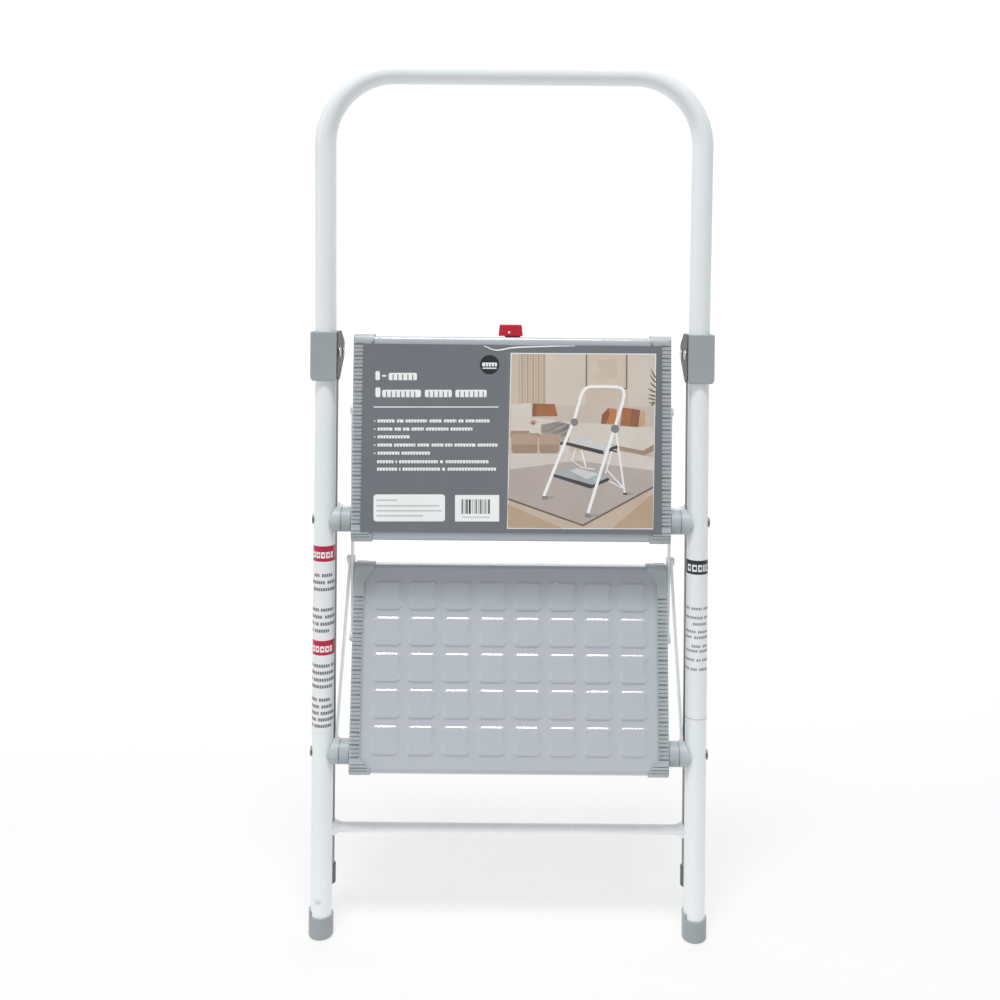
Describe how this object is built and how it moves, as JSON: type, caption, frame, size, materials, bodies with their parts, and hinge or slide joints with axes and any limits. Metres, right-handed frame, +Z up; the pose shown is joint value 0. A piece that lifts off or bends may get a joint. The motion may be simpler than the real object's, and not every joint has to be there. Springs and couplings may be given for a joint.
{
  "type": "step stool",
  "caption": "Folding step stool with a tall hoop handle, ribbed end caps, embossed steel treads, linked struts and a red latch, shown folded flat and standing upright.",
  "frame": {"origin": "middle of the folded stool's bounding box, at the height of its lowest point", "axes": "+Z up along the legs, +Y to the back, +X to the right seen from the front"},
  "size_m": [0.4086, 0.064, 0.882],
  "materials": {
    "white_coat": "satin powder coat",
    "tread_coat": "satin powder coat on pressed steel",
    "grey_plastic": "moulded, fine grain",
    "dark_plastic": "moulded",
    "red_plastic": "moulded, glossy",
    "zinc": "zinc plated",
    "card": "printed and filmed",
    "label_paper": "printed label"
  },
  "bodies": {
    "front_frame": {"front_frame_tube": "white_coat", "front_foot_left": "grey_plastic", "front_foot_right": "grey_plastic", "pivot_bracket_left": "grey_plastic", "pivot_bracket_right": "grey_plastic", "bracket_rivets": "zinc", "rear_pivot_rivets": "zinc", "upper_spacer_left": "grey_plastic", "upper_spacer_right": "grey_plastic", "lower_spacer_left": "grey_plastic", "lower_spacer_right": "grey_plastic", "step_pivot_rivets": "zinc", "leg_label_left": "label_paper", "leg_label_right": "label_paper"},
    "rear_frame": {"rear_leg_left": "white_coat", "rear_leg_right": "white_coat", "upper_crossbar": "white_coat", "lower_crossbar": "white_coat", "rear_foot_left": "dark_plastic", "rear_foot_right": "dark_plastic"},
    "upper_step": {"upper_tread": "tread_coat", "upper_end_cap_left": "grey_plastic", "upper_end_cap_right": "grey_plastic", "upper_link_rivets": "zinc", "printed_card": "card", "latch_bracket": "zinc", "latch_pin": "zinc", "latch_spring": "zinc"},
    "latch": {"latch_lever": "red_plastic"},
    "lower_step": {"lower_tread": "tread_coat", "lower_end_cap_left": "grey_plastic", "lower_end_cap_right": "grey_plastic", "lower_link_rivets": "zinc"},
    "link_left": {"link_bar_left": "white_coat", "strut_front_rivet_left": "zinc"},
    "link_right": {"link_bar_right": "white_coat", "strut_front_rivet_right": "zinc"},
    "brace_left": {"strut_left": "white_coat", "strut_rear_rivet_left": "zinc"},
    "brace_right": {"strut_right": "white_coat", "strut_rear_rivet_right": "zinc"}
  },
  "joints": [
    {"name": "unfold", "type": "hinge", "parent": "front_frame", "child": "rear_frame", "pos_m": [0, 0.0226, 0.59], "axis": [1, 0, 0], "range_deg": [0, 41.6]},
    {"name": "upper_step_hinge", "type": "hinge", "parent": "front_frame", "child": "upper_step", "pos_m": [0, -0.0044, 0.4215], "axis": [-1, 0, 0], "range_deg": [0, 63.4]},
    {"name": "lower_step_hinge", "type": "hinge", "parent": "front_frame", "child": "lower_step", "pos_m": [0, -0.0044, 0.1862], "axis": [-1, 0, 0], "range_deg": [0, 58.4]},
    {"name": "latch_hinge", "type": "hinge", "parent": "upper_step", "child": "latch", "pos_m": [0, 0.00098, 0.58144], "axis": [1, 0, 0], "range_deg": [0, 14], "stiffness_Nm_per_rad": 0.2, "springref_deg": -8.59},
    {"name": "link_left_hinge", "type": "hinge", "parent": "upper_step", "child": "link_left", "pos_m": [-0.16325, 0.00955, 0.53092], "axis": [1, 0, 0], "range_deg": [0, 61.3]},
    {"name": "brace_left_hinge", "type": "hinge", "parent": "link_left", "child": "brace_left", "pos_m": [-0.16325, 0.01656, 0.37601], "axis": [1, 0, 0], "range_deg": [0, 85.5]},
    {"name": "link_right_hinge", "type": "hinge", "parent": "upper_step", "child": "link_right", "pos_m": [0.16325, 0.00955, 0.53092], "axis": [1, 0, 0], "range_deg": [0, 61.3]},
    {"name": "brace_right_hinge", "type": "hinge", "parent": "link_right", "child": "brace_right", "pos_m": [0.16325, 0.01656, 0.37601], "axis": [1, 0, 0], "range_deg": [0, 85.5]}
  ],
  "couplings": [
    {"joint": "upper_step_hinge", "follows": "unfold", "ratio": 1.5216},
    {"joint": "lower_step_hinge", "follows": "unfold", "ratio": 1.4014},
    {"joint": "link_left_hinge", "follows": "unfold", "ratio": 1.4721},
    {"joint": "brace_left_hinge", "follows": "unfold", "ratio": 2.0539},
    {"joint": "link_right_hinge", "follows": "unfold", "ratio": 1.4721},
    {"joint": "brace_right_hinge", "follows": "unfold", "ratio": 2.0539}
  ]
}
